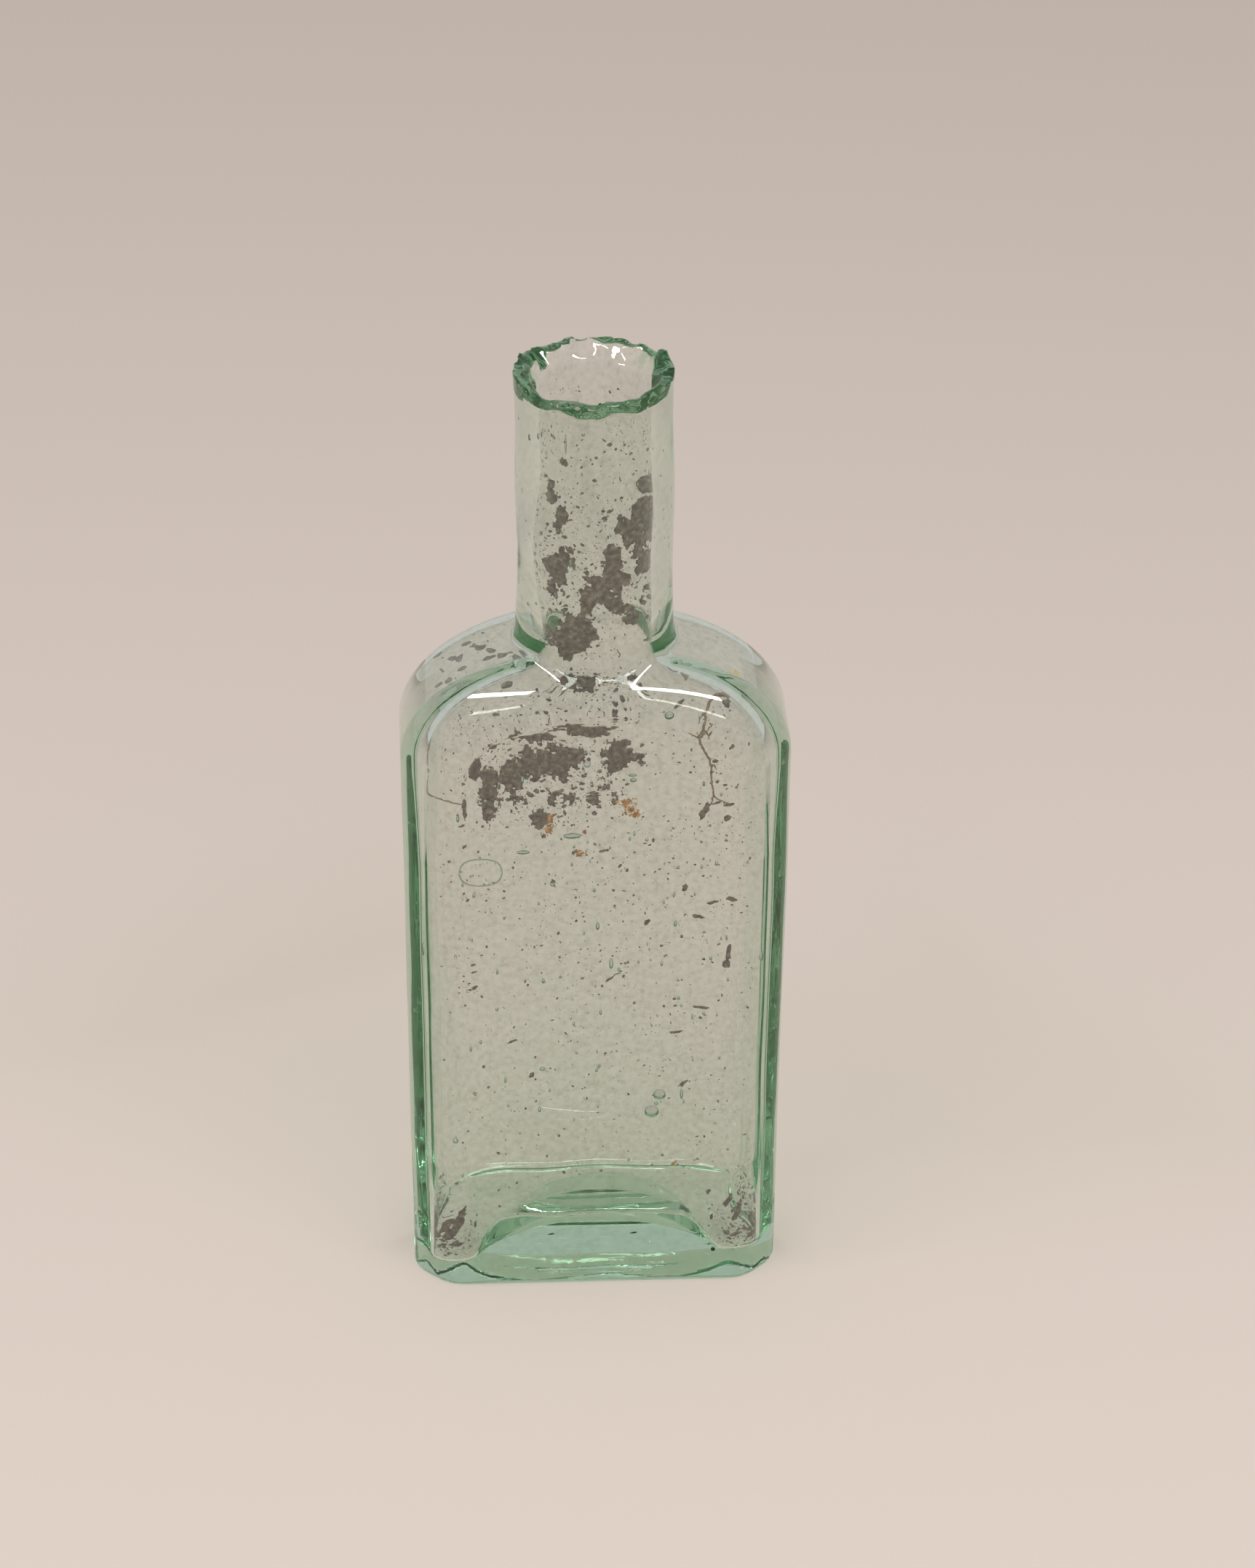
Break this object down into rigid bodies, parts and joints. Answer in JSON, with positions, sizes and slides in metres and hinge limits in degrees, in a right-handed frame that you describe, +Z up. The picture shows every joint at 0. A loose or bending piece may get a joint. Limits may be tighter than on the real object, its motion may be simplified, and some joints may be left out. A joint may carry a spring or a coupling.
{
  "type": "medicine bottle",
  "caption": "Small rectangular hand-blown aqua glass medicine bottle with an arched shoulder, a plain round neck, a broken lip and a thick uneven base, empty and soiled inside.",
  "frame": {"origin": "centre of the base, on the surface that the bottle stands on", "axes": "+Z up along the bottle's height, X across its width, +Y from its front face to its back face"},
  "size_m": [0.045, 0.0218, 0.1164],
  "materials": {
    "aqua_glass": "clear pale green, smooth",
    "dark_soil": "dry, matt, crusty",
    "rust": "dry, granular",
    "root": "dry, fibrous",
    "amber_film": "thin translucent stain"
  },
  "bodies": {
    "root": {"bottle_glass": "aqua_glass", "neck_crust": "dark_soil", "shoulder_crust": "dark_soil", "wall_flecks": "dark_soil", "rust_grains": "rust", "heel_silt_left": "dark_soil", "heel_silt_right": "dark_soil", "rootlet": "root", "hair_fibre": "root", "amber_stain": "amber_film"}
  },
  "joints": []
}
